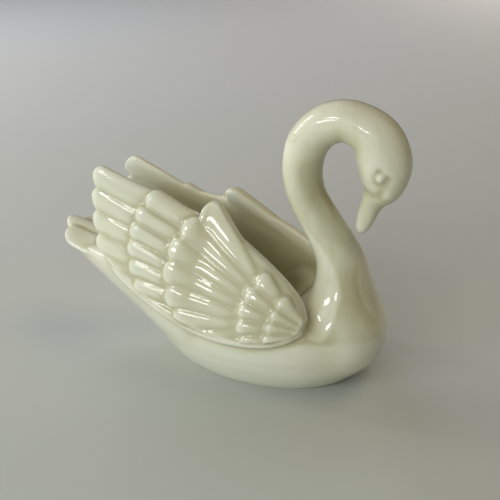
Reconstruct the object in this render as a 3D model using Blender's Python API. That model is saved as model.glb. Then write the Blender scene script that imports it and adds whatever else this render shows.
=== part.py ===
"""Swan figurine in glazed porcelain, slip-cast in one piece with an open back.

The swan faces +X and stands on its flat foot at z = 0. Sizes are in millimetres
and become metres when the meshes are made. Hull, stern, neck, wing walls and
feathers are lofted as simple closed forms, fused on one fine grid as wet clay
is, softened as the glaze does, and cut flat underneath.
"""
import math
from collections import namedtuple

import bmesh
import bpy
from mathutils import Matrix, Vector

MM = 0.001
# Middle of the whole length, brought to the origin at the end
MIDDLE_X = 0.6

# Egg-shaped body that the bowl is hollowed from
HULL_MID_X = 13.9
HULL_HALF_LENGTH = 37.2
HULL_HALF_WIDTH = 22.6
HULL_WIDEST_Z = 15.1
HULL_DEPTH = 23.1
HULL_CROWN = 12.5

# Stern, the wedge that sweeps up from the body and carries the tail
STERN_END_X = -49.0
STERN_HALF_WIDTH = 6.5
STERN_TAPER = 2.0
STERN_SIDE_Z = 29.5
STERN_START_Z = 17.0
STERN_RISE_SHARE = 0.6
STERN_CROWN_START = 3.0
STERN_CROWN_END = 1.5
STERN_CROWN_POWER = 3
STERN_KEEL_X = -5.0
STERN_KEEL_Z = 23.5
STERN_KEEL_START_Z = -7.0
STERN_KEEL_SWEEP = 0.85

# Bowl between the wings: a level floor that ramps up to the neck in front
BOWL_FLOOR_Z = 3.6
BOWL_KNEE_Z = 16.0
BOWL_RAMP_X = 6.0
BOWL_FRONT_X = 31.5
BOWL_RAMP_POWER = 1.3
BOWL_FRONT_SQUARENESS = 3
BOWL_REAR_SQUARENESS = 2.2
BOWL_END_ROUNDNESS = 0.4
BOWL_END_WIDTH = 0.02
BOWL_REAR_X = -43.0
BOWL_REAR_SLOPE_X = -26.0
BOWL_FRONT_RIM_Z = 30.5
BOWL_REAR_RIM_Z = 34.0
STERN_WALL = 3.0
BOWL_OPEN_Z = 60.0
BOWL_UPPER_WALL_Z = 30.0

# Wing walls: plan outline of the wing's outer face and its lean to the middle
WING_HALF_WIDTH = 24.0
WING_MID_X = 8.0
WING_PLAN_FRONT = 45.0
WING_PLAN_REAR = 58.0
WING_PLAN_LEAST = 0.04
WING_BASE_Z = 15.0
WING_LEAN_HEIGHT = 36.0
WING_LEAN_POWER = 1.3
WING_LEAN_FRONT = 16.0
WING_LEAN_TIP = 2.4
WING_TIP_X = -38.0
WING_THICKNESS = 3.8

# Wing blank, the plain wall under the feathers
BLANK_FRONT_X = 34.4
BLANK_REAR_X = -34.5
BLANK_FRONT_THICKNESS = 4.7
BLANK_REAR_THICKNESS = 1.9
BLANK_EDGE_POWER = 0.75
BLANK_FACE_POWER = 0.3
BLANK_END_TRIM = 0.4
BLANK_END_LENGTH = 3.0
BLANK_END_SHARE = 0.6
SHOULDER_Z = 22.4
WRIST_X = 3.0
WRIST_Z = 47.5
SADDLE_X = -3.0
SADDLE_Z = 45.0
LEFT_SADDLE_Z = 47.6
LEFT_EDGE_POWER = 3
TIP_TOP_Z = 52.5
LEADING_EDGE_ROUNDNESS = 0.54
LOWER_EDGE_Z = 15.6
LOWER_EDGE_FRONT_RISE = 5.0
LOWER_EDGE_FRONT_POWER = 3
LOWER_EDGE_REAR_RISE = 13.0
LOWER_EDGE_REAR_POWER = 1.6
LOWER_EDGE_LOWEST_X = 10.0
EDGE_TRIM = 2.0

# Hem, the plain band along the wing's lower edge that the lowest feathers end on
HEM_FRONT_X = 33.4
HEM_REAR_X = -32.5
HEM_FRONT_HEIGHT = 5.1
HEM_REAR_HEIGHT = 2.9
HEM_MIDDLE = 1.5
HEM_HALF_WIDTH = 1.7
HEM_FACE_POWER = 0.5
HEM_FRONT_ROUNDING = 4.0
HEM_FRONT_SHARE = 0.4
HEM_REAR_ROUNDING = 6.0
HEM_REAR_LOSS = 0.4

Tier = namedtuple("Tier", "focus top bottom feathers root reach root_height tip_height crown")

# Feather tiers from the wing tip forward. Each is a fan round its focus (x, z):
# top and bottom are the fan's angles in degrees, reach is the distance from the
# focus to the tips at the top, middle and bottom of the fan, the heights stand
# above the wing's inner face, and crown is the share of them that is rounded.
COVERTS = (
    Tier((34.0, 23.0), 138.1, 196.5, 7, 6.0, (44.2, 46.2, 31.8), 3.7, 4.9, 0.36),
    Tier((37.0, 21.5), 135.0, 197.0, 5, 5.0, (22.8, 22.9, 20.2), 4.4, 5.7, 0.42),
    Tier((37.0, 21.5), 130.5, 198.0, 4, 4.0, (14.8, 13.4, 14.2), 4.9, 6.4, 0.42),
)
RIGHT_TIERS = (
    Tier((80.0, 20.0), 161.7, 177.6, 5, 88.0, (125.0, 122.0, 113.5), 2.3, 3.0, 0.66),
    Tier((62.0, 16.0), 154.6, 178.2, 7, 58.0, (90.0, 89.8, 77.5), 2.8, 4.0, 0.58),
    *COVERTS,
)
# The left wing was tooled lower than the right one behind its wrist
LEFT_TIERS = (
    Tier((40.0, 24.0), 157.0, 181.0, 5, 48.0, (84.6, 81.5, 73.5), 2.3, 3.0, 0.66),
    Tier((62.0, 16.0), 157.2, 178.2, 6, 58.0, (86.5, 89.0, 77.5), 2.8, 4.0, 0.58),
    *COVERTS,
)
FEATHER_OVERLAP = 1.14
FEATHER_EDGE_POWER = 0.8
FEATHER_UNDERSIDE_POWER = 0.4
FEATHER_TIP_LENGTH = 0.95
FEATHER_TIP_LEAST = 0.03

# Tail fan on top of the stern: the level falls away from the middle feather
TAIL_FOCUS_X = 2.0
TAIL_FEATHERS = 3
TAIL_SPREAD = 18.0
TAIL_REACH = 58.4
TAIL_SIDE_SHORTER = 2.4
TAIL_TIP_Z = 36.2
TAIL_ROOT_X = -42.5
TAIL_ROOT_Z = 33.4
TAIL_SIDE_DROP = 4.6
TAIL_DROP_WIDTH = 10.0
TAIL_FLARE = 0.035
TAIL_FLARE_X = -52.0
TAIL_THICKNESS = 3.6
TAIL_SIDE_THICKNESS = 1.7
TAIL_CROWN = 0.5

# Neck, head and bill: x, z, half depth in the side view, half width
NECK_STATIONS = (
    (35.8, 6.0, 11.0, 13.0),
    (37.4, 13.0, 14.9, 15.6),
    (38.9, 21.0, 14.0, 14.2),
    (39.3, 28.0, 9.9, 11.0),
    (38.8, 34.1, 8.0, 8.4),
    (37.6, 39.0, 7.1, 7.2),
    (35.0, 43.8, 6.25, 6.5),
    (31.2, 49.6, 5.7, 6.1),
    (27.7, 55.2, 5.6, 5.9),
    (25.9, 60.6, 5.7, 6.0),
    (25.6, 65.8, 5.9, 6.0),
    (26.8, 71.3, 6.1, 6.0),
    (29.3, 75.3, 6.0, 6.0),
    (33.2, 78.3, 6.0, 6.0),
    (38.4, 79.7, 6.0, 6.1),
    (44.2, 78.0, 6.6, 6.3),
    (47.6, 74.9, 7.5, 6.6),
    (49.6, 70.0, 7.9, 6.7),
    (49.7, 65.6, 7.2, 6.1),
    (49.2, 62.4, 6.1, 5.1),
    (48.4, 60.3, 4.9, 4.1),
    (47.3, 58.3, 3.7, 3.3),
    (46.2, 55.6, 3.0, 2.9),
    (45.0, 52.0, 2.65, 2.5),
    (44.0, 48.9, 2.0, 2.0),
    (43.6, 47.4, 0.9, 0.9),
)
EYE_X = 50.7
EYE_Z = 66.5
EYE_RADIUS = 1.0
EYE_PROUD = 0.4
HEAD_HALF_WIDTH_AT_EYE = 6.2

# Fusing, glaze and facets
FUSE_GRID = 0.6
GLAZE_FACTOR = 0.5
GLAZE_PASSES = 3
FACETS = 11600

# Where neck, breast and bowl front flow into one another, and the stern into the belly
FLOW_PASSES = 130
FLOW_FADE = 4.0
FLOW_BREAST_X = 33.5
FLOW_BACK_REACH = 1.3
FLOW_BACK_HALF_WIDTH = 14.0
FLOW_NECK_Z = 38.0
FLOW_NECK_FADE = 8.0
FLOW_BELLY_Z = 13.0
FLOW_BELLY_FADE = 3.0
FLOW_BELLY_X = 10.0
FLOW_BELLY_LENGTH = 10.0

CREAM_GLAZE = (0.62, 0.61, 0.45, 1.0)
GLAZE_ROUGHNESS = 0.12


def within(share):
    return min(max(share, 0.0), 1.0)


def blend(start, end, share):
    """Value between start and end, with the share kept between 0 and 1."""
    return start + (end - start) * within(share)


def rounded(value, power):
    """The value's power with its sign kept, for sections with squarer or softer corners."""
    return math.copysign(abs(value) ** power, value)


def loft(bm, rings):
    """Closed skin over rings of equally many points, with a fan at each end."""
    loops = [[bm.verts.new(Vector(point) * MM) for point in ring] for ring in rings]
    count = len(loops[0])
    for near, far in zip(loops, loops[1:]):
        for i in range(count):
            j = (i + 1) % count
            bm.faces.new((near[i], near[j], far[j], far[i]))
    for loop in (loops[0], loops[-1]):
        middle = sum((v.co for v in loop), Vector()) / count
        cap = bm.verts.new(middle)
        for i in range(count):
            bm.faces.new((loop[i], loop[(i + 1) % count], cap))


def new_mesh(name, build, *sizes):
    """Object from a build function that fills a bmesh, with its faces outwards."""
    bm = bmesh.new()
    build(bm, *sizes)
    bmesh.ops.recalc_face_normals(bm, faces=bm.faces)
    mesh = bpy.data.meshes.new(name)
    bm.to_mesh(mesh)
    bm.free()
    item = bpy.data.objects.new(name, mesh)
    bpy.context.scene.collection.objects.link(item)
    return item


def build_hull(bm, rings=28, around=40):
    """Egg lying along X, deeper below its widest line than above it."""
    sections = []
    for i in range(1, rings):
        angle = math.pi * i / rings
        x = HULL_MID_X - HULL_HALF_LENGTH * math.cos(angle)
        swell = math.sin(angle)
        ring = []
        for k in range(around):
            turn = 2 * math.pi * k / around
            rise = HULL_CROWN if math.sin(turn) > 0 else HULL_DEPTH
            ring.append((x, HULL_HALF_WIDTH * swell * math.cos(turn),
                         HULL_WIDEST_Z + rise * swell * math.sin(turn)))
        sections.append(ring)
    loft(bm, sections)


def stern_share(x):
    return within((HULL_MID_X - x) / (HULL_MID_X - STERN_END_X))


def stern_half_width(x):
    return HULL_HALF_WIDTH - (HULL_HALF_WIDTH - STERN_HALF_WIDTH) * stern_share(x) ** STERN_TAPER


def stern_keel(x):
    share = within((STERN_KEEL_X - x) / (STERN_KEEL_X - STERN_END_X))
    return STERN_KEEL_START_Z + (STERN_KEEL_Z - STERN_KEEL_START_Z) * share ** STERN_KEEL_SWEEP


def stern_side(x):
    return blend(STERN_START_Z, STERN_SIDE_Z, stern_share(x) / STERN_RISE_SHARE)


def build_stern(bm, rings=18, around=32):
    """Boat-like wedge from the middle of the body to the root of the tail."""
    sections = []
    for i in range(rings + 1):
        x = HULL_MID_X + (STERN_END_X - HULL_MID_X) * i / rings
        side, keel = stern_side(x), stern_keel(x)
        crown = blend(STERN_CROWN_START, STERN_CROWN_END, stern_share(x) ** STERN_CROWN_POWER)
        ring = []
        for k in range(around):
            turn = 2 * math.pi * k / around
            rise = crown if math.sin(turn) > 0 else side - keel
            ring.append((x, stern_half_width(x) * math.cos(turn), side + rise * math.sin(turn)))
        sections.append(ring)
    loft(bm, sections)


def wing_face(x, z):
    """Distance of the wing's inner face from the middle plane."""
    reach = WING_PLAN_FRONT if x > WING_MID_X else WING_PLAN_REAR
    plan = WING_HALF_WIDTH * math.sqrt(max(1 - ((x - WING_MID_X) / reach) ** 2, WING_PLAN_LEAST))
    lean = blend(WING_LEAN_TIP, WING_LEAN_FRONT, (x - WING_TIP_X) / -WING_TIP_X)
    height = max(z - WING_BASE_Z, 0.0) / WING_LEAN_HEIGHT
    return plan - lean * height ** WING_LEAN_POWER - WING_THICKNESS


def bowl_ends(x):
    """How far x has come into the front ramp and into the rear slope of the bowl."""
    front = max((x - BOWL_RAMP_X) / (BOWL_FRONT_X - BOWL_RAMP_X), 0.0)
    rear = max((BOWL_REAR_SLOPE_X - x) / (BOWL_REAR_SLOPE_X - BOWL_REAR_X), 0.0)
    return front, rear


def build_bowl(bm, rings=40, levels=14):
    """Hollow of the back, open above, with a ramp in front and a sloping rear wall."""
    sections = []
    for i in range(rings + 1):
        swing = 0.5 - 0.5 * math.cos(math.pi * i / rings)
        x = BOWL_FRONT_X + (BOWL_REAR_X - BOWL_FRONT_X) * swing
        front, rear = bowl_ends(x)
        depth = within(1 - front ** BOWL_RAMP_POWER - rear ** BOWL_REAR_SQUARENESS)
        spread = within(1 - front ** BOWL_FRONT_SQUARENESS - rear ** BOWL_REAR_SQUARENESS)
        floor = max(BOWL_FLOOR_Z, stern_keel(x) + STERN_WALL)
        knee = max(BOWL_KNEE_Z, stern_side(x))
        end_rim = BOWL_FRONT_RIM_Z if x > BOWL_RAMP_X else BOWL_REAR_RIM_Z
        rim = blend(end_rim, knee, depth)
        width = max(spread ** BOWL_END_ROUNDNESS, BOWL_END_WIDTH)
        side = []
        for k in range(levels + 1):
            turn = math.pi / 2 * k / levels
            z = rim - (knee - floor) * depth * math.cos(turn)
            side.append((wing_face(x, z) * math.sin(turn) * width, z))
        side.append((wing_face(x, BOWL_UPPER_WALL_Z) * width, BOWL_OPEN_Z))
        ring = [(x, y, z) for y, z in side] + [(x, -y, z) for y, z in reversed(side[1:])]
        sections.append(ring)
    loft(bm, sections)


def wing_point(x, z, height, hand):
    return (x, hand * (wing_face(x, z) + height), z)


def blank_lower(x):
    if x > LOWER_EDGE_LOWEST_X:
        share = (x - LOWER_EDGE_LOWEST_X) / (BLANK_FRONT_X - LOWER_EDGE_LOWEST_X)
        return LOWER_EDGE_Z + LOWER_EDGE_FRONT_RISE * share ** LOWER_EDGE_FRONT_POWER
    share = (LOWER_EDGE_LOWEST_X - x) / (LOWER_EDGE_LOWEST_X - BLANK_REAR_X)
    return LOWER_EDGE_Z + LOWER_EDGE_REAR_RISE * share ** LOWER_EDGE_REAR_POWER


def blank_upper(x, hand):
    if x > WRIST_X:
        share = (x - WRIST_X) / (BLANK_FRONT_X - WRIST_X)
        return SHOULDER_Z + (WRIST_Z - SHOULDER_Z) * max(1 - share, 0.0) ** LEADING_EDGE_ROUNDNESS
    saddle = LEFT_SADDLE_Z if hand > 0 else SADDLE_Z
    if x > SADDLE_X:
        return blend(saddle, WRIST_Z, (x - SADDLE_X) / (WRIST_X - SADDLE_X))
    rise = (SADDLE_X - x) / (SADDLE_X - BLANK_REAR_X)
    return blend(saddle, TIP_TOP_Z, rise ** LEFT_EDGE_POWER if hand > 0 else rise)


def wing_band(x, low, high, height, edge_power, face_power, hand, around):
    """One ring of a wall on the wing: up its outer face and down its inner one."""
    ring = []
    for k in range(around):
        turn = 2 * math.pi * k / around
        across = rounded(math.cos(turn), edge_power)
        up = rounded(math.sin(turn), face_power)
        z = (low + high) / 2 + (high - low) / 2 * across
        ring.append(wing_point(x, z, height * (0.5 + 0.5 * up), hand))
    return ring


def build_blank(bm, hand, rings=34, around=40):
    """Plain wing wall, thick at the shoulder and thin at the tip."""
    sections = []
    for i in range(rings + 1):
        share = i / rings
        x = blend(BLANK_FRONT_X - BLANK_END_TRIM, BLANK_REAR_X + BLANK_END_TRIM, share)
        end = max(x - BLANK_FRONT_X + BLANK_END_LENGTH, 0.0) / BLANK_END_LENGTH
        body = BLANK_END_SHARE + (1 - BLANK_END_SHARE) * math.sqrt(1 - end * end)
        height = blend(BLANK_FRONT_THICKNESS, BLANK_REAR_THICKNESS, share) * body
        sections.append(wing_band(x, blank_lower(x), blank_upper(x, hand), height,
                                  BLANK_EDGE_POWER, BLANK_FACE_POWER, hand, around))
    loft(bm, sections)


def build_hem(bm, hand, rings=34, around=20):
    """Band along the wing's lower edge, rounded off in front and fading at the rear."""
    sections = []
    for i in range(rings + 1):
        share = i / rings
        x = blend(HEM_FRONT_X, HEM_REAR_X, share)
        front = max(x - HEM_FRONT_X + HEM_FRONT_ROUNDING, 0.0) / HEM_FRONT_ROUNDING
        rear = max(HEM_REAR_X + HEM_REAR_ROUNDING - x, 0.0) / HEM_REAR_ROUNDING
        body = HEM_FRONT_SHARE + (1 - HEM_FRONT_SHARE) * math.sqrt(1 - front * front)
        height = blend(HEM_FRONT_HEIGHT, HEM_REAR_HEIGHT, share) * body * (1 - HEM_REAR_LOSS * rear ** 2)
        middle = blank_lower(x) + HEM_MIDDLE
        sections.append(wing_band(x, middle - HEM_HALF_WIDTH, middle + HEM_HALF_WIDTH, height,
                                  FEATHER_EDGE_POWER, HEM_FACE_POWER, hand, around))
    loft(bm, sections)


def tier_reach(tier, share):
    """Parabola through the reach at the top, middle and bottom of the fan."""
    top, middle, bottom = tier.reach
    bend = 2 * (top + bottom - 2 * middle)
    return top + (bottom - top - bend) * share + bend * share * share


def feather_section(around, crown):
    """Shares across and up for one ring of a feather: flat below, crowned above."""
    shares = []
    for k in range(around):
        turn = 2 * math.pi * k / around
        across = rounded(math.cos(turn), FEATHER_EDGE_POWER)
        sine = math.sin(turn)
        edge = 1 - crown
        up = edge + crown * sine if sine > 0 else edge - edge * abs(sine) ** FEATHER_UNDERSIDE_POWER
        shares.append((across, up))
    return shares


def feather_stations(root, tip, half, along):
    """Distance from the focus, share of the width and share of the thickness.

    The vane is straight as far as its shoulder and then rounds off to the tip.
    """
    shoulder = tip - tip * half * FEATHER_TIP_LENGTH
    straight = along // 2
    stations = []
    for i in range(along + 1):
        if i <= straight:
            stations.append((blend(root, shoulder, i / straight), 1.0, 1.0))
        else:
            turn = math.pi / 2 * (i - straight) / (along - straight)
            radius = shoulder + (tip - shoulder) * math.sin(turn)
            cosine = max(math.cos(turn), FEATHER_TIP_LEAST)
            stations.append((radius, cosine, cosine ** FEATHER_UNDERSIDE_POWER))
    return stations


def build_feather(bm, tier, index, hand, along=12, around=20):
    """One feather of a wing tier, from its buried root to its rounded tip."""
    step = (tier.bottom - tier.top) / tier.feathers
    share = (index + 0.5) / tier.feathers
    centre = math.radians(tier.top + step * (index + 0.5))
    half = math.radians(step) / 2 * FEATHER_OVERLAP
    tip = tier_reach(tier, share)
    sections = []
    for radius, width, body in feather_stations(tier.root, tip, half, along):
        length_share = (radius - tier.root) / (tip - tier.root)
        top = blend(tier.root_height, tier.tip_height, length_share)
        ring = []
        for across, up in feather_section(around, tier.crown):
            angle = centre + half * width * across
            x = tier.focus[0] + radius * math.cos(angle)
            z = max(tier.focus[1] + radius * math.sin(angle), blank_lower(x) + EDGE_TRIM)
            ring.append(wing_point(x, z, top * (0.5 + (up - 0.5) * body), hand))
        sections.append(ring)
    loft(bm, sections)


def tail_side(y):
    """Share of the way from the tail's middle to its side, eased at the middle."""
    return min(abs(y) / TAIL_DROP_WIDTH, 1.0) ** 2


def tail_level(x, y):
    """Top of the tail: it rises to the tip and falls away to both sides."""
    length = TAIL_ROOT_X - TAIL_FOCUS_X + TAIL_REACH
    return blend(TAIL_ROOT_Z, TAIL_TIP_Z, (TAIL_ROOT_X - x) / length) - TAIL_SIDE_DROP * tail_side(y)


def build_tail_feather(bm, index, along=12, around=20):
    """One feather of the tail fan, from its root in the stern to its rounded tip."""
    half_count = (TAIL_FEATHERS - 1) / 2
    share = abs(index - half_count) / half_count
    step = math.radians(TAIL_SPREAD) / TAIL_FEATHERS
    centre = step * (index - half_count)
    half = step / 2 * FEATHER_OVERLAP
    tip = TAIL_REACH - TAIL_SIDE_SHORTER * share
    root = TAIL_FOCUS_X - TAIL_ROOT_X
    sections = []
    for radius, width, body in feather_stations(root, tip, half, along):
        ring = []
        for across, up in feather_section(around, TAIL_CROWN):
            angle = centre + half * width * across
            x = TAIL_FOCUS_X - radius * math.cos(angle)
            y = radius * math.sin(angle) * (1 + TAIL_FLARE * max(x - TAIL_FLARE_X, 0.0))
            thickness = blend(TAIL_THICKNESS, TAIL_SIDE_THICKNESS, tail_side(y))
            ring.append((x, y, tail_level(x, y) - thickness * (0.5 - (up - 0.5) * body)))
        sections.append(ring)
    loft(bm, sections)


def curve_through(stations, steps):
    """Catmull-Rom rows through the stations, with the given steps between two."""
    rows = [stations[0], *stations, stations[-1]]
    points = []
    for a, b, c, d in zip(rows, rows[1:], rows[2:], rows[3:]):
        for k in range(steps):
            t = k / steps
            points.append(tuple(0.5 * (2 * q + (r - p) * t + (2 * p - 5 * q + 4 * r - s) * t * t
                                       + (3 * q - p - 3 * r + s) * t ** 3)
                                for p, q, r, s in zip(a, b, c, d)))
    points.append(stations[-1])
    return points


def build_neck(bm, steps=3, around=28):
    """Neck, head and bill as one loft on the curved spine."""
    rows = curve_through(NECK_STATIONS, steps)
    sections = []
    for i, (x, z, depth, width) in enumerate(rows):
        before, after = rows[max(i - 1, 0)], rows[min(i + 1, len(rows) - 1)]
        heading = math.atan2(after[1] - before[1], after[0] - before[0])
        ring = []
        for k in range(around):
            turn = 2 * math.pi * k / around
            out = depth * math.cos(turn)
            ring.append((x + out * math.sin(heading), width * math.sin(turn),
                         z - out * math.cos(heading)))
        sections.append(ring)
    loft(bm, sections)


def build_eyes(bm):
    for hand in (-1, 1):
        made = bmesh.ops.create_uvsphere(bm, u_segments=16, v_segments=10, radius=EYE_RADIUS * MM)
        place = Vector((EYE_X, hand * (HEAD_HALF_WIDTH_AT_EYE + EYE_PROUD - EYE_RADIUS), EYE_Z)) * MM
        bmesh.ops.translate(bm, verts=made["verts"], vec=place)


def build_feathers(bm):
    for hand, tiers in ((-1, RIGHT_TIERS), (1, LEFT_TIERS)):
        for tier in tiers:
            for index in range(tier.feathers):
                build_feather(bm, tier, index, hand)
    for index in range(TAIL_FEATHERS):
        build_tail_feather(bm, index)


def build_blanks(bm):
    for hand in (-1, 1):
        build_blank(bm, hand)
        build_hem(bm, hand)


def apply_modifiers(item):
    """Swap the object's mesh for its evaluated one and drop its modifiers."""
    view = bpy.context.evaluated_depsgraph_get()
    mesh = bpy.data.meshes.new_from_object(item.evaluated_get(view))
    item.modifiers.clear()
    item.data = mesh


def join(target, others):
    bm = bmesh.new()
    for item in (target, *others):
        bm.from_mesh(item.data)
    bm.to_mesh(target.data)
    bm.free()
    for item in others:
        bpy.data.objects.remove(item)


def hollow(item, cutter):
    cut = item.modifiers.new("bowl", "BOOLEAN")
    cut.operation = "DIFFERENCE"
    cut.solver = "EXACT"
    cut.use_self = True
    cut.object = cutter
    apply_modifiers(item)
    bpy.data.objects.remove(cutter)


def fuse(item):
    """Make one skin of all the forms, then soften it as the glaze does."""
    grid = item.modifiers.new("fuse", "REMESH")
    grid.mode = "VOXEL"
    grid.voxel_size = FUSE_GRID * MM
    glaze = item.modifiers.new("glaze", "SMOOTH")
    glaze.factor = GLAZE_FACTOR
    glaze.iterations = GLAZE_PASSES
    apply_modifiers(item)


def flow_weight(x, y, z):
    """1 where the forms flow together, 0 on the wings and the upper neck."""
    back = FLOW_BACK_REACH * max(FLOW_BACK_HALF_WIDTH - abs(y), 0.0)
    breast = within((x - FLOW_BREAST_X + back) / FLOW_FADE) * within((FLOW_NECK_Z - z) / FLOW_NECK_FADE)
    belly = within((FLOW_BELLY_Z - z) / FLOW_BELLY_FADE) * within((FLOW_BELLY_X - x) / FLOW_BELLY_LENGTH)
    return max(breast, belly)


def flow_together(item):
    """Soften the lines where neck, breast, bowl front, stern and belly meet."""
    group = item.vertex_groups.new(name="flow")
    for vertex in item.data.vertices:
        weight = flow_weight(*(vertex.co / MM))
        if weight > 0:
            group.add([vertex.index], weight, "REPLACE")
    flow = item.modifiers.new("flow", "SMOOTH")
    flow.factor = GLAZE_FACTOR
    flow.iterations = FLOW_PASSES
    flow.vertex_group = group.name
    apply_modifiers(item)
    item.vertex_groups.clear()


def facet(item, count):
    sides = sum(len(face.vertices) - 2 for face in item.data.polygons)
    fewer = item.modifiers.new("facets", "DECIMATE")
    fewer.ratio = min(count / sides, 1.0)
    apply_modifiers(item)


def cut_foot(item):
    """Cut the body flat at z = 0 and bring the middle of its length to the origin."""
    bm = bmesh.new()
    bm.from_mesh(item.data)
    everything = bm.verts[:] + bm.edges[:] + bm.faces[:]
    cut = bmesh.ops.bisect_plane(bm, geom=everything, plane_co=(0, 0, 0), plane_no=(0, 0, 1),
                                 clear_inner=True)
    rim = [e for e in cut["geom_cut"] if isinstance(e, bmesh.types.BMEdge)]
    bmesh.ops.contextual_create(bm, geom=rim)
    bmesh.ops.triangulate(bm, faces=bm.faces)
    bmesh.ops.recalc_face_normals(bm, faces=bm.faces)
    bm.transform(Matrix.Translation((-MIDDLE_X * MM, 0, 0)))
    bm.to_mesh(item.data)
    bm.free()


def glaze_material():
    material = bpy.data.materials.new("cream_glaze")
    material.use_nodes = True
    shader = material.node_tree.nodes["Principled BSDF"]
    shader.inputs["Base Color"].default_value = CREAM_GLAZE
    shader.inputs["Roughness"].default_value = GLAZE_ROUGHNESS
    shader.inputs["Metallic"].default_value = 0.0
    return material


def main():
    for item in list(bpy.data.objects):
        bpy.data.objects.remove(item)
    swan = new_mesh("swan", build_hull)
    join(swan, [new_mesh("stern", build_stern)])
    hollow(swan, new_mesh("bowl", build_bowl))
    join(swan, [new_mesh("neck", build_neck), new_mesh("eyes", build_eyes),
                new_mesh("blanks", build_blanks), new_mesh("feathers", build_feathers)])
    fuse(swan)
    flow_together(swan)
    facet(swan, FACETS)
    cut_foot(swan)
    swan.data.materials.append(glaze_material())
    swan.data.shade_smooth()


main()
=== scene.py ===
import math
from collections import namedtuple

import bpy
import numpy as np
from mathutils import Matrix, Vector


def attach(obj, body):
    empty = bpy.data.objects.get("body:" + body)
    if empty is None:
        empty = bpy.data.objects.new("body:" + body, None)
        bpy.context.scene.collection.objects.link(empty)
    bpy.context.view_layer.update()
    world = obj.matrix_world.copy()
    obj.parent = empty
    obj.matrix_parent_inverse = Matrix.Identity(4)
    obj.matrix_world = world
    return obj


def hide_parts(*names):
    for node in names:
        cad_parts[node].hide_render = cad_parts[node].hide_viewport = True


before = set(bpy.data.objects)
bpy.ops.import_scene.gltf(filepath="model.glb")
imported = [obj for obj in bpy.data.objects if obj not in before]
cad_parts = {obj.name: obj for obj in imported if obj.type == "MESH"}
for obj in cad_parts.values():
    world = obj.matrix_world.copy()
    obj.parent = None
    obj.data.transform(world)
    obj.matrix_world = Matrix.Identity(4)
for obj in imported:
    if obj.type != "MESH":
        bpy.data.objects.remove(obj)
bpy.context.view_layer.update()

# Camera: it stands where the photograph was taken from, close on the swan's right side and a little
# ahead of it, looking down.
camera_data = bpy.data.cameras.new("photo_view")
camera_data.sensor_width = 36.0
camera_data.lens = 74.34
camera_data.clip_start = 0.01
camera = bpy.data.objects.new("photo_view", camera_data)
bpy.context.scene.collection.objects.link(camera)
aim = Vector((0.0084, 0.0, 0.0355))
azimuth, elevation, distance = math.radians(25.0), math.radians(24.0), 0.312
towards_eye = Vector((math.sin(azimuth) * math.cos(elevation),
                      -math.cos(azimuth) * math.cos(elevation), math.sin(elevation)))
camera.location = aim + towards_eye * distance
camera.rotation_euler = towards_eye.to_track_quat("Z", "Y").to_euler()
bpy.context.scene.camera = camera

# Body and stern: the belly of the casting, an egg fullest at the breast, and behind it a wedge that
# lifts clear of the ground to carry the tail. Porcelain slip, cast in one mould with all that follows.

# Sizes are in millimetres: x towards the bill with the frame's origin at MIDDLE_X, y to the left, z up
MM = 0.001
MIDDLE_X = 0.6
HULL_MID_X, HULL_WIDEST_Z = 13.9, 15.1
HULL_HALF_LENGTH, HULL_HALF_WIDTH = 37.2, 22.6
HULL_DEPTH, HULL_CROWN = 23.1, 12.5
STERN_END_X, STERN_HALF_WIDTH = -49.0, 6.5
KEEL_START_X, KEEL_START_Z, KEEL_RISE = -5.0, -7.0, 30.5
STERN_SIDE_FRONT_Z, STERN_SIDE_REAR_Z, STERN_SIDE_SHARE = 17.0, 29.5, 0.6
STERN_CROWN_FRONT, STERN_CROWN_REAR = 3.0, 1.5


def between(value, low, high):
    """Share of the way that a value has gone from low to high, kept between 0 and 1."""
    return min(max((value - low) / (high - low), 0.0), 1.0)


def blend(start, end, share):
    """Value between start and end, with the share kept between 0 and 1."""
    return start + (end - start) * min(max(share, 0.0), 1.0)


def finish_form(form):
    """Faces of a closed form turned outwards and its place and size taken into its mesh."""
    bpy.ops.object.mode_set(mode="EDIT")
    bpy.ops.mesh.select_all(action="SELECT")
    bpy.ops.mesh.normals_make_consistent(inside=False)
    bpy.ops.object.mode_set(mode="OBJECT")
    bpy.ops.object.transform_apply(location=True, rotation=True, scale=True)
    return form


def tube(name, rings):
    """A cylinder cut into rings, each ring then set on its own section of the form."""
    around = len(rings[0])
    bpy.ops.object.select_all(action="DESELECT")
    bpy.ops.mesh.primitive_cylinder_add(vertices=around, radius=1.0, depth=2.0, end_fill_type="TRIFAN")
    form = bpy.context.object
    form.name = name
    mesh = form.data
    bpy.ops.object.mode_set(mode="EDIT")
    bpy.ops.mesh.select_mode(type="EDGE")
    bpy.ops.mesh.select_all(action="DESELECT")
    bpy.ops.object.mode_set(mode="OBJECT")
    for edge in mesh.edges:
        low, high = (mesh.vertices[i].co for i in edge.vertices)
        edge.select = abs(low.z - high.z) > 1.0
    bpy.ops.object.mode_set(mode="EDIT")
    bpy.ops.mesh.subdivide(number_cuts=len(rings) - 2)
    bpy.ops.object.mode_set(mode="OBJECT")
    for vertex in mesh.vertices:
        x, y, z = vertex.co
        row = rings[round((z + 1.0) / 2.0 * (len(rings) - 1))]
        if math.hypot(x, y) < 0.5:
            vertex.co = sum((Vector(point) for point in row), Vector()) / around * MM
        else:
            vertex.co = Vector(row[round(math.atan2(y, x) / math.tau * around) % around]) * MM
    return finish_form(form)


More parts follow.
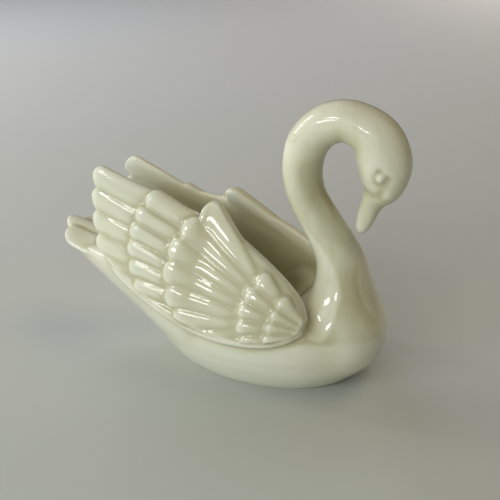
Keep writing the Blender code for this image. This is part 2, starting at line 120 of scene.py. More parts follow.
# The egg starts as a sphere: its upper and lower halves are drawn out by different amounts
bpy.ops.object.select_all(action="DESELECT")
bpy.ops.mesh.primitive_uv_sphere_add(segments=96, ring_count=64, radius=MM)
body = bpy.context.object
body.name = "body"
bpy.ops.object.mode_set(mode="EDIT")
bpy.ops.mesh.select_all(action="SELECT")
bpy.ops.transform.resize(value=(HULL_HALF_LENGTH, HULL_HALF_WIDTH, HULL_DEPTH), center_override=(0, 0, 0))
bpy.ops.mesh.select_all(action="DESELECT")
bpy.ops.object.mode_set(mode="OBJECT")
for vertex in body.data.vertices:
    vertex.select = vertex.co.z > 0
bpy.ops.object.mode_set(mode="EDIT")
bpy.ops.mesh.select_mode(type="VERT")
bpy.ops.transform.resize(value=(1, 1, HULL_CROWN / HULL_DEPTH), center_override=(0, 0, 0))
bpy.ops.object.mode_set(mode="OBJECT")
body.location = Vector((HULL_MID_X, 0, HULL_WIDEST_Z)) * MM
finish_form(body)


def stern_share(x):
    """How far back a place is on the way from the widest part of the hull to the stern's end."""
    return between(x, HULL_MID_X, STERN_END_X)


def stern_keel(x):
    """Lowest line of the wedge, from under the ground up to the root of the tail."""
    return KEEL_START_Z + KEEL_RISE * between(x, KEEL_START_X, STERN_END_X) ** 0.85


def stern_side(x):
    """Height of the wedge's widest line."""
    return blend(STERN_SIDE_FRONT_Z, STERN_SIDE_REAR_Z, stern_share(x) / STERN_SIDE_SHARE)


def stern_rings(count=34, around=64):
    rings = []
    for i in range(count + 1):
        x = blend(HULL_MID_X, STERN_END_X, i / count)
        half_width = blend(HULL_HALF_WIDTH, STERN_HALF_WIDTH, stern_share(x) ** 2)
        side = stern_side(x)
        crown = blend(STERN_CROWN_FRONT, STERN_CROWN_REAR, stern_share(x) ** 3)
        ring = []
        for k in range(around):
            turn = math.tau * k / around
            rise = crown if math.sin(turn) > 0 else side - stern_keel(x)
            ring.append((x, half_width * math.cos(turn), side + rise * math.sin(turn)))
        rings.append(ring)
    return rings


stern = tube("stern", stern_rings())

# Open back: the hollow between the wings as the mould leaves it, with a round front wall under the
# neck, a level floor and a rear wall sloping up to the tail. Its sides are the wings' inner faces.
WING_MID_X, WING_BASE_Z, WING_THICKNESS = 8.0, 15.0, 3.8
WING_FRONT_REACH, WING_REAR_REACH, WING_OUT = 45.0, 58.0, 24.0
WING_LEAN_REAR, WING_LEAN_FRONT = 2.4, 16.0
WING_LEAN_LENGTH, WING_LEAN_HEIGHT = 38.0, 36.0
BOWL_FRONT_X, BOWL_REAR_X, BOWL_REAR_SLOPE_X = 31.5, -43.0, -26.0
BOWL_FLOOR_Z, BOWL_KNEE_Z, STERN_WALL = 3.6, 16.0, 3.0
BOWL_RAMP_X = 6.0
BOWL_FRONT_RIM_Z, BOWL_REAR_RIM_Z = 30.5, 34.0
MOUTH_Z, MOUTH_TOP_Z = 30.0, 60.0


def wing_face(x, z):
    """Distance of the wing's inner face from the middle plane: it leans in towards the top."""
    reach = WING_FRONT_REACH if x > WING_MID_X else WING_REAR_REACH
    plan = WING_OUT * math.sqrt(max(1 - ((x - WING_MID_X) / reach) ** 2, 0.04))
    lean = blend(WING_LEAN_REAR, WING_LEAN_FRONT, (x + WING_LEAN_LENGTH) / WING_LEAN_LENGTH)
    return plan - lean * (max(z - WING_BASE_Z, 0.0) / WING_LEAN_HEIGHT) ** 1.3 - WING_THICKNESS


def bowl_rings(count=72, levels=28):
    """Sections of the core, close together at its ends, where it curves most."""
    rings = []
    for i in range(count + 1):
        x = blend(BOWL_FRONT_X, BOWL_REAR_X, 0.5 - 0.5 * math.cos(math.pi * i / count))
        front = max((x - BOWL_RAMP_X) / (BOWL_FRONT_X - BOWL_RAMP_X), 0.0)
        rear = max((BOWL_REAR_SLOPE_X - x) / (BOWL_REAR_SLOPE_X - BOWL_REAR_X), 0.0)
        depth = max(1 - front ** 1.3 - rear ** 2.2, 0.0)
        spread = max(1 - front ** 3 - rear ** 2.2, 0.0)
        floor = max(BOWL_FLOOR_Z, stern_keel(x) + STERN_WALL)
        knee = max(BOWL_KNEE_Z, stern_side(x))
        rim = blend(BOWL_FRONT_RIM_Z if x > BOWL_RAMP_X else BOWL_REAR_RIM_Z, knee, depth)
        width = max(spread ** 0.4, 0.02)
        side = []
        for k in range(levels + 1):
            turn = math.pi / 2 * k / levels
            z = rim - (knee - floor) * depth * math.cos(turn)
            side.append((wing_face(x, z) * math.sin(turn) * width, z))
        side.append((wing_face(x, MOUTH_Z) * width, MOUTH_TOP_Z))
        rings.append([(x, y, z) for y, z in side] + [(x, -y, z) for y, z in reversed(side[1:])])
    return rings


def work(form, name, kind, **settings):
    """One step of the making, set as a modifier on a form and applied."""
    step = form.modifiers.new(name, kind)
    for setting, value in settings.items():
        setattr(step, setting, value)
    bpy.ops.object.modifier_apply(modifier=name)


bowl = tube("bowl", bowl_rings())
bpy.ops.object.select_all(action="DESELECT")
stern.select_set(True)
body.select_set(True)
bpy.context.view_layer.objects.active = body
bpy.ops.object.join()
work(body, "hollow", "BOOLEAN", operation="DIFFERENCE", solver="EXACT", use_self=True, object=bowl)
bpy.data.objects.remove(bowl)

# Neck, head and bill: one porcelain limb, cast in one with the body, that rises from the breast, turns
# over and bows. Each station along it is x, z, half depth and half width in millimetres.
NECK_STATIONS = (
    (35.8, 6.0, 11.0, 13.0), (37.4, 13.0, 14.9, 15.6), (38.9, 21.0, 14.0, 14.2),
    (39.3, 28.0, 9.9, 11.0), (38.8, 34.1, 8.0, 8.4), (37.6, 39.0, 7.1, 7.2),
    (35.0, 43.8, 6.25, 6.5), (31.2, 49.6, 5.7, 6.1), (27.7, 55.2, 5.6, 5.9),
    (25.9, 60.6, 5.7, 6.0), (25.6, 65.8, 5.9, 6.0), (26.8, 71.3, 6.1, 6.0),
    (29.3, 75.3, 6.0, 6.0), (33.2, 78.3, 6.0, 6.0), (38.4, 79.7, 6.0, 6.1),
    (44.2, 78.0, 6.6, 6.3), (47.6, 74.9, 7.5, 6.6), (49.6, 70.0, 7.9, 6.7),
    (49.7, 65.6, 7.2, 6.1), (49.2, 62.4, 6.1, 5.1), (48.4, 60.3, 4.9, 4.1),
    (47.3, 58.3, 3.7, 3.3), (46.2, 55.6, 3.0, 2.9), (45.0, 52.0, 2.65, 2.5),
    (44.0, 48.9, 2.0, 2.0), (43.6, 47.4, 0.9, 0.9),
)


def smooth_rows(stations, steps):
    """Catmull-Rom rows through the stations, with the given steps between two."""
    rows = [stations[0], *stations, stations[-1]]
    smooth = []
    for a, b, c, d in zip(rows, rows[1:], rows[2:], rows[3:]):
        for k in range(steps):
            t = k / steps
            smooth.append(tuple(0.5 * (2 * q + (r - p) * t + (2 * p - 5 * q + 4 * r - s) * t * t
                                       + (3 * q - p - 3 * r + s) * t ** 3)
                                for p, q, r, s in zip(a, b, c, d)))
    return smooth + [stations[-1]]


def neck_rings(steps=6, around=64):
    rows = smooth_rows(NECK_STATIONS, steps)
    rings = []
    for i, (x, z, depth, width) in enumerate(rows):
        before, after = rows[max(i - 1, 0)], rows[min(i + 1, len(rows) - 1)]
        heading = math.atan2(after[1] - before[1], after[0] - before[0])
        ring = []
        for k in range(around):
            turn = math.tau * k / around
            out = depth * math.cos(turn)
            ring.append((x + out * math.sin(heading), width * math.sin(turn), z - out * math.cos(heading)))
        rings.append(ring)
    return rings


neck = tube("neck", neck_rings())

# Eyes: two low round beads of the same porcelain, one on each side of the head, formed by the mould
# and covered by the glaze.
EYE_X, EYE_OUT, EYE_Z, EYE_RADIUS = 50.7, 5.6, 66.5, 1.0
eyes = []
for hand in (-1, 1):
    bpy.ops.object.select_all(action="DESELECT")
    bpy.ops.mesh.primitive_uv_sphere_add(segments=32, ring_count=20, radius=EYE_RADIUS * MM,
                                         location=(EYE_X * MM, hand * EYE_OUT * MM, EYE_Z * MM))
    eyes.append(finish_form(bpy.context.object))

# Wing walls: the porcelain wall of each wing, thick at the shoulder and thin at the tip, cast with the
# body and leaning in over the back. A plain hem runs along its lower edge, under the feathers.
BLANK_FRONT_X, BLANK_REAR_X = 34.4, -34.5
LOWER_EDGE_X, LOWER_EDGE_Z = 10.0, 15.6
LOWER_EDGE_FRONT_RISE, LOWER_EDGE_REAR_RISE = 5.0, 13.0
SHOULDER_Z, TIP_TOP_Z = 22.4, 52.5
WRIST_X, WRIST_Z = 3.0, 47.5
SADDLE_X, RIGHT_SADDLE_Z, LEFT_SADDLE_Z = -3.0, 45.0, 47.6
SHOULDER_WALL, TIP_WALL = 4.7, 1.9
WALL_END_INSET, WALL_END_TAPER = 0.4, 3.0
HEM_FRONT_X, HEM_REAR_X = 33.4, -32.5
HEM_FRONT_TAPER, HEM_REAR_TAPER = 4.0, 6.0
HEM_FRONT_HEIGHT, HEM_REAR_HEIGHT = 5.1, 2.9
HEM_LIFT, HEM_HALF_WIDTH = 1.5, 1.7


def on_wing(x, z, height, hand):
    """A point at a height over the wing's inner face, on the left for hand 1 and the right for -1."""
    return (x, hand * (wing_face(x, z) + height), z)


def blank_lower(x):
    """Lower edge of the wing's wall, which rises to both ends."""
    if x > LOWER_EDGE_X:
        front = (x - LOWER_EDGE_X) / (BLANK_FRONT_X - LOWER_EDGE_X)
        return LOWER_EDGE_Z + LOWER_EDGE_FRONT_RISE * front ** 3
    rear = (LOWER_EDGE_X - x) / (LOWER_EDGE_X - BLANK_REAR_X)
    return LOWER_EDGE_Z + LOWER_EDGE_REAR_RISE * rear ** 1.6


def blank_upper(x, hand):
    """Upper edge: up from the shoulder to the wrist, a step down to the saddle, then up to the tip."""
    if x > WRIST_X:
        return SHOULDER_Z + (WRIST_Z - SHOULDER_Z) * between(x, BLANK_FRONT_X, WRIST_X) ** 0.54
    saddle = LEFT_SADDLE_Z if hand > 0 else RIGHT_SADDLE_Z
    if x > SADDLE_X:
        return blend(saddle, WRIST_Z, (x - SADDLE_X) / (WRIST_X - SADDLE_X))
    rise = (SADDLE_X - x) / (SADDLE_X - BLANK_REAR_X)
    return blend(saddle, TIP_TOP_Z, rise ** 3 if hand > 0 else rise)


def squared(wave, power):
    """A sine or cosine pressed out towards a square, the more so the lower the power."""
    return math.copysign(abs(wave) ** power, wave)


def wall_rings(hand, count=68, around=72):
    """Each ring runs up the wall's outer face and down its inner one, with squarish edges."""
    front_x, rear_x = BLANK_FRONT_X - WALL_END_INSET, BLANK_REAR_X + WALL_END_INSET
    rings = []
    for i in range(count + 1):
        share = i / count
        x = blend(front_x, rear_x, share)
        low, high = blank_lower(x), blank_upper(x, hand)
        end = between(x, BLANK_FRONT_X - WALL_END_TAPER, BLANK_FRONT_X)
        thickness = blend(SHOULDER_WALL, TIP_WALL, share) * (0.6 + 0.4 * math.sqrt(1 - end * end))
        ring = []
        for k in range(around):
            turn = math.tau * k / around
            across, up = squared(math.cos(turn), 0.75), squared(math.sin(turn), 0.3)
            ring.append(on_wing(x, (low + high) / 2 + (high - low) / 2 * across,
                                thickness * (0.5 + 0.5 * up), hand))
        rings.append(ring)
    return rings


def hem_rings(hand, count=68, around=36):
    """The plain band along the wing's lower edge that the lowest feathers end on."""
    rings = []
    for i in range(count + 1):
        x = blend(HEM_FRONT_X, HEM_REAR_X, i / count)
        front = between(x, HEM_FRONT_X - HEM_FRONT_TAPER, HEM_FRONT_X)
        rear = between(x, HEM_REAR_X + HEM_REAR_TAPER, HEM_REAR_X)
        height = blend(HEM_FRONT_HEIGHT, HEM_REAR_HEIGHT, i / count)
        height *= (0.4 + 0.6 * math.sqrt(1 - front * front)) * (1 - 0.4 * rear * rear)
        ring = []
        for k in range(around):
            turn = math.tau * k / around
            across, up = squared(math.cos(turn), 0.8), squared(math.sin(turn), 0.5)
            ring.append(on_wing(x, blank_lower(x) + HEM_LIFT + HEM_HALF_WIDTH * across,
                                height * (0.5 + 0.5 * up), hand))
        rings.append(ring)
    return rings


walls = [tube("wall", rings(hand)) for rings in (wall_rings, hem_rings) for hand in (-1, 1)]

# Feathers: overlapping tiers in relief on the outer face of each wing, formed by the same mould, long
# primaries at the tip and small coverts at the shoulder. A tier is a fan round its focus, and every
# feather is a low cushion with a round rolled tip.
Tier = namedtuple("Tier", "focus top bottom feathers root reach root_height tip_height crown")
COVERTS = (
    Tier((34.0, 23.0), 138.1, 196.5, 7, 6.0, (44.2, 46.2, 31.8), 3.7, 4.9, 0.15),
    Tier((37.0, 21.5), 135.0, 197.0, 5, 5.0, (22.8, 22.9, 20.2), 4.4, 5.6, 0.18),
    Tier((37.0, 21.5), 130.5, 198.0, 4, 4.0, (14.8, 13.4, 14.2), 4.9, 6.2, 0.2),
)
RIGHT_TIERS = (
    Tier((80.0, 20.0), 161.7, 177.6, 5, 88.0, (125.0, 122.0, 113.5), 2.3, 3.0, 0.5),
    Tier((62.0, 16.0), 154.6, 178.2, 7, 58.0, (88.6, 89.2, 77.4), 2.8, 4.0, 0.38),
    *COVERTS,
)
LEFT_TIERS = (
    Tier((40.0, 24.0), 157.0, 181.0, 5, 48.0, (84.6, 81.5, 73.5), 2.3, 3.0, 0.5),
    Tier((62.0, 16.0), 157.2, 178.2, 6, 58.0, (86.5, 89.0, 77.5), 2.8, 4.0, 0.38),
    *COVERTS,
)
FEATHER_OVERLAP = 1.14
FEATHER_ABOVE_EDGE = 2.0


def feather_section(around, crown):
    """Shares across and up for one ring of a feather: flat below, crowned above."""
    shares = []
    for k in range(around):
        turn = math.tau * k / around
        across, sine, edge = squared(math.cos(turn), 0.8), math.sin(turn), 1 - crown
        shares.append((across, edge + crown * sine if sine > 0 else edge - edge * abs(sine) ** 0.4))
    return shares


def feather_stations(root, tip, half, along):
    """Radius, share of the width and share of the thickness from the root to the round tip."""
    shoulder = tip - tip * half * 0.95
    straight = along // 2
    stations = []
    for i in range(along + 1):
        if i <= straight:
            stations.append((blend(root, shoulder, i / straight), 1.0, 1.0))
        else:
            turn = math.pi / 2 * (i - straight) / (along - straight)
            cosine = max(math.cos(turn), 0.03)
            stations.append((shoulder + (tip - shoulder) * math.sin(turn), cosine, cosine ** 0.4))
    return stations


def feather_rings(tier, index, hand, along=24, around=40):
    """One feather of a tier, its tip on a curve through the tier's top, middle and bottom reach."""
    step = (tier.bottom - tier.top) / tier.feathers
    share = (index + 0.5) / tier.feathers
    centre = math.radians(tier.top + step * (index + 0.5))
    half = math.radians(step) / 2 * FEATHER_OVERLAP
    top, middle, bottom = tier.reach
    bend = 2 * (top + bottom - 2 * middle)
    tip = top + (bottom - top - bend) * share + bend * share * share
    rings = []
    for radius, width, body_share in feather_stations(tier.root, tip, half, along):
        height = blend(tier.root_height, tier.tip_height, (radius - tier.root) / (tip - tier.root))
        ring = []
        for across, up in feather_section(around, tier.crown):
            angle = centre + half * width * across
            x = tier.focus[0] + radius * math.cos(angle)
            z = max(tier.focus[1] + radius * math.sin(angle), blank_lower(x) + FEATHER_ABOVE_EDGE)
            ring.append(on_wing(x, z, height * (0.5 + (up - 0.5) * body_share), hand))
        rings.append(ring)
    return rings


feathers = [tube("feather", feather_rings(tier, index, hand))
            for hand, tiers in ((-1, RIGHT_TIERS), (1, LEFT_TIERS))
            for tier in tiers for index in range(tier.feathers)]

# Tail: three short broad porcelain feathers fanned on the end of the stern and cast with it, the outer
# two curling down at the sides.
TAIL_FOCUS_X, TAIL_REACH, TAIL_ROOT_X = 2.0, 58.4, -42.5
TAIL_FAN_STEP, TAIL_SIDE_SHORTER, TAIL_HALF_WIDTH = 6.0, 2.4, 10.0
TAIL_ROOT_Z, TAIL_TIP_Z, TAIL_CURL = 33.4, 36.2, 4.6
TAIL_MIDDLE_THICKNESS, TAIL_SIDE_THICKNESS = 3.6, 1.7
TAIL_SPREAD_X, TAIL_SPREAD, TAIL_CROWN = -52.0, 0.035, 0.5


def tail_rings(index, along=24, around=40):
    """One tail feather, spread wider at its root, where it comes out of the stern."""
    step = math.radians(TAIL_FAN_STEP)
    centre, half = step * (index - 1), step / 2 * FEATHER_OVERLAP
    tip = TAIL_REACH - TAIL_SIDE_SHORTER * abs(index - 1)
    tip_x = TAIL_FOCUS_X - TAIL_REACH
    rings = []
    for radius, width, body_share in feather_stations(TAIL_FOCUS_X - TAIL_ROOT_X, tip, half, along):
        ring = []
        for across, up in feather_section(around, TAIL_CROWN):
            angle = centre + half * width * across
            x = TAIL_FOCUS_X - radius * math.cos(angle)
            y = radius * math.sin(angle) * (1 + TAIL_SPREAD * max(x - TAIL_SPREAD_X, 0.0))
            side = min(abs(y) / TAIL_HALF_WIDTH, 1.0) ** 2
            level = blend(TAIL_ROOT_Z, TAIL_TIP_Z, between(x, TAIL_ROOT_X, tip_x)) - TAIL_CURL * side
            thickness = blend(TAIL_MIDDLE_THICKNESS, TAIL_SIDE_THICKNESS, side)
            ring.append((x, y, level - thickness * (0.5 - (up - 0.5) * body_share)))
        rings.append(ring)
    return rings


tail = [tube("tail_feather", tail_rings(index)) for index in range(3)]

# Casting: all forms become one piece of porcelain, smoothed as wet clay is, and the glaze that is
# fired on it fills the creases and rounds the lips. The foot is ground flat so that the swan stands.
GRAIN = 0.34
SOFTEN_PASSES, FLOW_PASSES, FETTLE_PASSES, SETTLE_PASSES = 7, 400, 24, 2
MOST_TRIANGLES = 196000

bpy.ops.object.select_all(action="DESELECT")
for form in (neck, *eyes, *walls, *feathers, *tail, body):
    form.select_set(True)
bpy.context.view_layer.objects.active = body
bpy.ops.object.join()
swan = body
swan.name = "swan_glazed"
swan.data.name = "swan_glazed"
work(swan, "fuse", "REMESH", mode="VOXEL", voxel_size=GRAIN * MM)
work(swan, "soften", "SMOOTH", factor=0.5, iterations=SOFTEN_PASSES)

# The neck flows into the breast, the stern into the belly and the bowl's side into its front
BREAST_FLOW_X, BREAST_FLOW_Y, BREAST_FLOW_TOP_Z = 33.5, 14.0, 38.0
BELLY_FLOW_X, BELLY_FLOW_TOP_Z = 10.0, 13.0
BOWL_FLOW_X, BOWL_FLOW_LOW_Z, BOWL_FLOW_TOP_Z = 17.5, 14.0, 28.0


def flow_share(x, y, z):
    """How far the casting flows smooth at a point: each region fades out over some millimetres."""
    inward = 1.3 * max(BREAST_FLOW_Y - abs(y), 0.0)
    breast = between(x + inward, BREAST_FLOW_X, BREAST_FLOW_X + 4.0)
    breast *= between(z, BREAST_FLOW_TOP_Z, BREAST_FLOW_TOP_Z - 8.0)
    belly = between(z, BELLY_FLOW_TOP_Z, BELLY_FLOW_TOP_Z - 3.0)
    belly *= between(x, BELLY_FLOW_X, BELLY_FLOW_X - 10.0)
    bowl_side = between(x, BOWL_FLOW_X, BOWL_FLOW_X + 4.0)
    bowl_side *= between(z, BOWL_FLOW_TOP_Z, BOWL_FLOW_TOP_Z - 3.0)
    bowl_side *= between(z, BOWL_FLOW_LOW_Z, BOWL_FLOW_LOW_Z + 3.0)
    if bowl_side > 0 and abs(y) > wing_face(x, z) + 0.3:
        bowl_side = 0.0
    return max(breast, belly, bowl_side)


# The neck and head are fettled smooth, clear of the eyes
FETTLE_LOW_Z, FETTLE_REAR_X, FETTLE_HALF_WIDTH = 38.0, 16.0, 8.5
FETTLE_TO_EYE = 1.6


def fettle_share(x, y, z):
    """How far the neck and head are fettled at a point, less and less towards the breast and the eye."""
    if z <= FETTLE_LOW_Z or x <= FETTLE_REAR_X or abs(y) >= FETTLE_HALF_WIDTH:
        return 0.0
    from_eye = math.hypot(x - EYE_X, z - EYE_Z)
    clear_of_eye = between(from_eye, FETTLE_TO_EYE, FETTLE_TO_EYE + 1.5)
    return between(z, FETTLE_LOW_Z, FETTLE_LOW_Z + 4.0) * clear_of_eye


for name, share_at, passes in (
        ("flow", flow_share, FLOW_PASSES),
        ("fettle", fettle_share, FETTLE_PASSES)):
    group = swan.vertex_groups.new(name=name)
    for vertex in swan.data.vertices:
        share = share_at(*(vertex.co / MM))
        if share > 0:
            group.add([vertex.index], share, "REPLACE")
    work(swan, name, "SMOOTH", factor=0.5, iterations=passes, vertex_group=name)

# Marks of the modelling tool on both sides of the face: a ring round the eye, a dent over it and a full
# cheek, each as x, z, radius of its ring, width and height, and the crease where the bill begins
PRESSES = ((50.7, 66.5, 1.8, 0.8, -0.28), (50.2, 68.9, 0.0, 1.0, -0.3), (52.6, 61.4, 0.0, 1.9, 0.5))
CREASE = ((45.8, 61.0), (47.6, 60.5), (49.6, 61.0), (51.0, 62.6), (52.0, 64.6), (52.7, 66.6))
CREASE_WIDTH, CREASE_DEPTH = 1.2, 0.3
FACE_REAR_X, FACE_LOW_Z, FACE_INNER_Y = 40.0, 55.0, 1.5


def surface():
    """Places and outward directions of the swan's points."""
    count = len(swan.data.vertices) * 3
    points, normals = np.empty(count), np.empty(count)
    swan.data.vertices.foreach_get("co", points)
    swan.data.vertices.foreach_get("normal", normals)
    return points.reshape(-1, 3), normals.reshape(-1, 3)


points, normals = surface()
x, y, z = (points / MM).T
face = (x > FACE_REAR_X) & (z > FACE_LOW_Z) & (np.abs(y) > FACE_INNER_Y)
push = np.zeros(len(points))
for press_x, press_z, ring, width, height in PRESSES:
    away = np.hypot(x - press_x, z - press_z)
    push += height * np.exp(-((away - ring) / width) ** 2)
nearest = np.full(len(points), 99.0)
for (x0, z0), (x1, z1) in zip(CREASE, CREASE[1:]):
    along = ((x - x0) * (x1 - x0) + (z - z0) * (z1 - z0)) / ((x1 - x0) ** 2 + (z1 - z0) ** 2)
    along = np.clip(along, 0, 1)
    nearest = np.minimum(nearest, np.hypot(x - x0 - along * (x1 - x0), z - z0 - along * (z1 - z0)))
push -= CREASE_DEPTH * np.exp(-(nearest / CREASE_WIDTH) ** 2)
push *= face
swan.data.vertices.foreach_set("co", (points + normals * push[:, None] * MM).ravel())
swan.data.update()

triangles = sum(len(face.vertices) - 2 for face in swan.data.polygons)
work(swan, "thin", "DECIMATE", ratio=min(MOST_TRIANGLES / triangles, 1.0))
work(swan, "settle", "SMOOTH", factor=0.5, iterations=SETTLE_PASSES)

# The foot is cut level at the ground, and the piece is set in the frame
bpy.ops.object.mode_set(mode="EDIT")
bpy.ops.mesh.select_all(action="SELECT")
bpy.ops.mesh.bisect(plane_co=(0, 0, 0), plane_no=(0, 0, 1), clear_inner=True, use_fill=True)
bpy.ops.mesh.select_all(action="SELECT")
bpy.ops.mesh.quads_convert_to_tris()
bpy.ops.mesh.normals_make_consistent(inside=False)
bpy.ops.object.mode_set(mode="OBJECT")
swan.location.x = -MIDDLE_X * MM
bpy.ops.object.transform_apply(location=True, rotation=True, scale=True)
bpy.ops.object.shade_smooth()

# Glaze: one coat of cream gloss over the whole casting, thin on the lips and thick in the creases,
# where it turns darker: partly glaze pooling and partly painted shade in the creases. How deep the
# tone lies comes from how far a point lies below its surroundings.
POOL_DEPTH, POOL_REACH, POOL_BLUR = 0.5, 14, 2
# Painted shade laid on the wings' outer faces, and more of it over the front feathers
WING_PAINTED_SHADE, FAN_PAINTED_SHADE, FAN_RADIUS = 0.14, 0.16, 46.5
OUTER_FACE, ABOVE_HEM = 2.5, 2.0

edges = np.empty(len(swan.data.edges) * 2, dtype=np.int64)
swan.data.edges.foreach_get("vertices", edges)
edges = edges.reshape(-1, 2)
ends = np.concatenate((edges[:, 0], edges[:, 1]))
starts = np.concatenate((edges[:, 1], edges[:, 0]))
points, normals = surface()
neighbours = np.bincount(ends, minlength=len(points))


def spread(values):
    """Each point's value made the mean of its neighbours'."""
    return np.bincount(ends, weights=values[starts], minlength=len(points)) / neighbours


level = points.copy()
for step in range(POOL_REACH):
    level = np.stack([spread(level[:, axis]) for axis in range(3)], axis=1)
pooling_and_shade = 0.5 + ((level - points) * normals).sum(axis=1) / (POOL_DEPTH * MM)

# Painted shade: the wings' outer faces are darkened as if the glaze lay thicker there, most of all over
# the close feathers at the front
fan_x, fan_z = COVERTS[0].focus
for index, point in enumerate(points / MM):
    x, y, z = point[0] + MIDDLE_X, abs(point[1]), point[2]
    if z > LOWER_EDGE_Z + ABOVE_HEM and y > wing_face(x, z) + OUTER_FACE:
        from_focus = math.hypot(x - fan_x, z - fan_z)
        pooling_and_shade[index] += WING_PAINTED_SHADE + FAN_PAINTED_SHADE * between(from_focus, FAN_RADIUS, FAN_RADIUS - 2.0)
pooling_and_shade = np.clip(pooling_and_shade, 0.0, 1.0)
for step in range(POOL_BLUR):
    pooling_and_shade = spread(pooling_and_shade)
swan.data.attributes.new("pooling_and_shade", "FLOAT", "POINT").data.foreach_set("value", pooling_and_shade)

glaze = bpy.data.materials.new("cream_glaze")
glaze.use_nodes = True
nodes, links = glaze.node_tree.nodes, glaze.node_tree.links
shader = nodes["Principled BSDF"]
shader.inputs["Roughness"].default_value = 0.3
shader.inputs["Coat Weight"].default_value = 1.0
shader.inputs["Coat Roughness"].default_value = 0.035
shader.inputs["Coat IOR"].default_value = 1.5


def add(kind, **settings):
    node = nodes.new(kind)
    for name, value in settings.items():
        setattr(node, name, value)
    return node


def shade(colour, share, darker):
    """The glaze colour with a darker tone laid over it by a share that varies over the piece."""
    mix = add("ShaderNodeMix", data_type="RGBA", blend_type="MULTIPLY")
    links.new(share, mix.inputs["Factor"])
    links.new(colour, mix.inputs["A"])
    mix.inputs["B"].default_value = (*darker, 1)
    return mix.outputs["Result"]


def span(value, low, high):
    """A value spread so that low becomes 0 and high becomes 1."""
    stretch = add("ShaderNodeMapRange")
    links.new(value, stretch.inputs["Value"])
    stretch.inputs["From Min"].default_value = low
    stretch.inputs["From Max"].default_value = high
    return stretch.outputs["Result"]


def times(first, second):
    product = add("ShaderNodeMath", operation="MULTIPLY")
    links.new(first, product.inputs[0])
    links.new(second, product.inputs[1])
    return product.outputs["Value"]


def streaks(scale):
    """Fine streaks left in the clay by the sponge, drawn out along one direction."""
    mapping = add("ShaderNodeMapping")
    mapping.inputs["Scale"].default_value = scale
    links.new(place.outputs["Object"], mapping.inputs["Vector"])
    noise = add("ShaderNodeTexNoise")
    noise.inputs["Scale"].default_value = 1.0
    noise.inputs["Detail"].default_value = 2.0
    links.new(mapping.outputs["Vector"], noise.inputs["Vector"])
    return span(noise.outputs["Fac"], 0.45, 0.75)


def away_from(centre):
    """Distance from a point of the piece that is given in millimetres."""
    away = add("ShaderNodeVectorMath", operation="DISTANCE")
    links.new(place.outputs["Object"], away.inputs[0])
    away.inputs[1].default_value = Vector(centre) * MM
    return away.outputs["Value"]


place = add("ShaderNodeTexCoord")
where = add("ShaderNodeSeparateXYZ")
links.new(place.outputs["Object"], where.inputs["Vector"])
pool_and_shade = add("ShaderNodeAttribute", attribute_name="pooling_and_shade")
# Tone from thin glaze on the lips to a darker tone in the creases, glaze pooling with painted shade
tone = add("ShaderNodeValToRGB")
thin_glaze, thick_glaze_and_shade = tone.color_ramp.elements
thin_glaze.position = 0.25
thin_glaze.color = (0.66, 0.665, 0.53, 1)
thick_glaze_and_shade.position = 0.78
thick_glaze_and_shade.color = (0.452, 0.438, 0.275, 1)
tone.color_ramp.elements.new(0.5).color = (0.60, 0.598, 0.43, 1)
links.new(pool_and_shade.outputs["Fac"], tone.inputs["Fac"])

# Sponge streaks: upright on the breast, level round the belly
breast = times(streaks((420, 420, 45)), span(where.outputs["X"], 0.024, 0.032))
breast = times(breast, span(where.outputs["Z"], 0.012, 0.02))
belly = times(streaks((40, 40, 560)), span(where.outputs["Z"], 0.014, 0.009))
colour = shade(tone.outputs["Color"], breast, (0.93, 0.925, 0.89))
colour = shade(colour, belly, (0.92, 0.91, 0.86))

# Kiln specks, dark and under a millimetre, and a burst bubble's ring on the neck
for centre, size in (((11.8, 19.6, 17.2), 0.42), ((2.7, -11.1, 47.2), 0.3)):
    speck = span(away_from(centre), size * MM, size * 0.5 * MM)
    colour = shade(colour, speck, (0.1, 0.09, 0.06))
from_bubble = away_from((24.1, -4.9, 74.5))
ring = times(span(from_bubble, 0.75 * MM, 0.95 * MM), span(from_bubble, 1.2 * MM, 1.0 * MM))
colour = shade(colour, ring, (0.78, 0.77, 0.66))
links.new(colour, shader.inputs["Base Color"])
swan.data.materials.append(glaze)
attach(swan, "root")
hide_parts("swan")

# Floor: a plain pale matt ground for the swan to stand on. It ends a little past what the camera
# sees of it, about where the lamps stand and no longer light it.
bpy.ops.object.select_all(action="DESELECT")
bpy.ops.mesh.primitive_plane_add(size=1.36)
floor = bpy.context.object
floor.name = "floor"
ground = bpy.data.materials.new("floor")
ground.use_nodes = True
ground_shader = ground.node_tree.nodes["Principled BSDF"]
ground_shader.inputs["Base Color"].default_value = (0.437, 0.47, 0.44, 1)
ground_shader.inputs["Roughness"].default_value = 0.9
floor.data.materials.append(ground)

# Light: broad soft lamps, each tinted as the room's light reaches the glaze from its side, cool from
# the low window and warm from above, then slim panes that draw the bright lines on the glaze.
LAMP_WIDTH, LAMP_HEIGHT = 0.5, 0.35
PANE_DISTANCE = 0.8


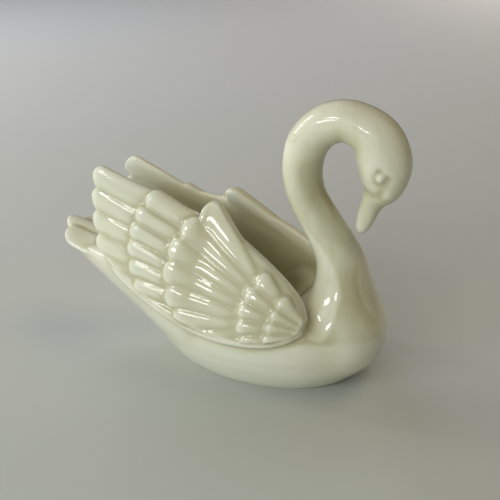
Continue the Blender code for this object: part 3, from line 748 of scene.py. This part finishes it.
def soft_light(name, direction, distance, size, power, colour=(1, 1, 1), mirrored=True):
    """A lamp that faces the swan, in metres and watts, and that the glaze mirrors or not."""
    lamp = bpy.data.lights.new(name, "AREA")
    lamp.shape = "RECTANGLE"
    lamp.size, lamp.size_y = size
    lamp.energy = power
    lamp.color = colour
    lamp_object = bpy.data.objects.new(name, lamp)
    bpy.context.scene.collection.objects.link(lamp_object)
    heading = Vector(direction).normalized()
    lamp_object.location = Vector((0, 0, 0.03)) + heading * distance
    lamp_object.rotation_euler = heading.to_track_quat("Z", "Y").to_euler()
    lamp_object.visible_glossy = mirrored


for name, direction, distance, power, colour in (
        ("window_low", (-0.5, -0.87, 0.14), 0.6, 1.7, (0.58, 0.74, 1.0)),
        ("left", (-1.0, 0.0, 0.16), 0.6, 2.3, (1.0, 0.9, 0.68)),
        ("rear_left", (-0.75, 0.5, 0.5), 0.7, 1.95, (0.76, 0.74, 1.0)),
        ("rear_high", (0.4, 0.3, 0.9), 0.8, 1.36, (1.0, 0.8, 0.52)),
        ("front", (0.05, -0.9, 0.4), 0.7, 2.0, (1.0, 0.92, 0.8)),
        ("rear_low", (0.1, 1.0, 0.2), 0.8, 2.08, (1.0, 0.85, 0.85))):
    soft_light(name, direction, distance, (LAMP_WIDTH, LAMP_HEIGHT), power, colour, mirrored=False)
for name, direction, size, power in (
        ("window_pane_upper", (-0.48, -0.78, 0.52), (0.24, 0.045), 0.5),
        ("window_pane_lower", (-0.48, -0.78, 0.3), (0.24, 0.045), 0.5),
        ("front_pane", (-0.05, -0.95, 0.3), (0.1, 0.05), 0.25),
        ("left_pane", (-0.94, -0.05, 0.4), (0.03, 0.36), 0.7)):
    soft_light(name, direction, PANE_DISTANCE, size, power)

# The room is dim all round, and only the camera sees a pale backdrop behind the floor
world = bpy.data.worlds.new("room")
bpy.context.scene.world = world
world.use_nodes = True
room_nodes, room_links = world.node_tree.nodes, world.node_tree.links
room = room_nodes["Background"]
room.inputs["Color"].default_value = (0.055, 0.06, 0.045, 1)
backdrop = room_nodes.new("ShaderNodeBackground")
backdrop.inputs["Color"].default_value = (0.40, 0.41, 0.385, 1)
rays = room_nodes.new("ShaderNodeLightPath")
seen = room_nodes.new("ShaderNodeMixShader")
room_links.new(rays.outputs["Is Camera Ray"], seen.inputs["Fac"])
room_links.new(room.outputs["Background"], seen.inputs[1])
room_links.new(backdrop.outputs["Background"], seen.inputs[2])
room_links.new(seen.outputs["Shader"], room_nodes["World Output"].inputs["Surface"])
bpy.context.scene.view_settings.view_transform = "Standard"
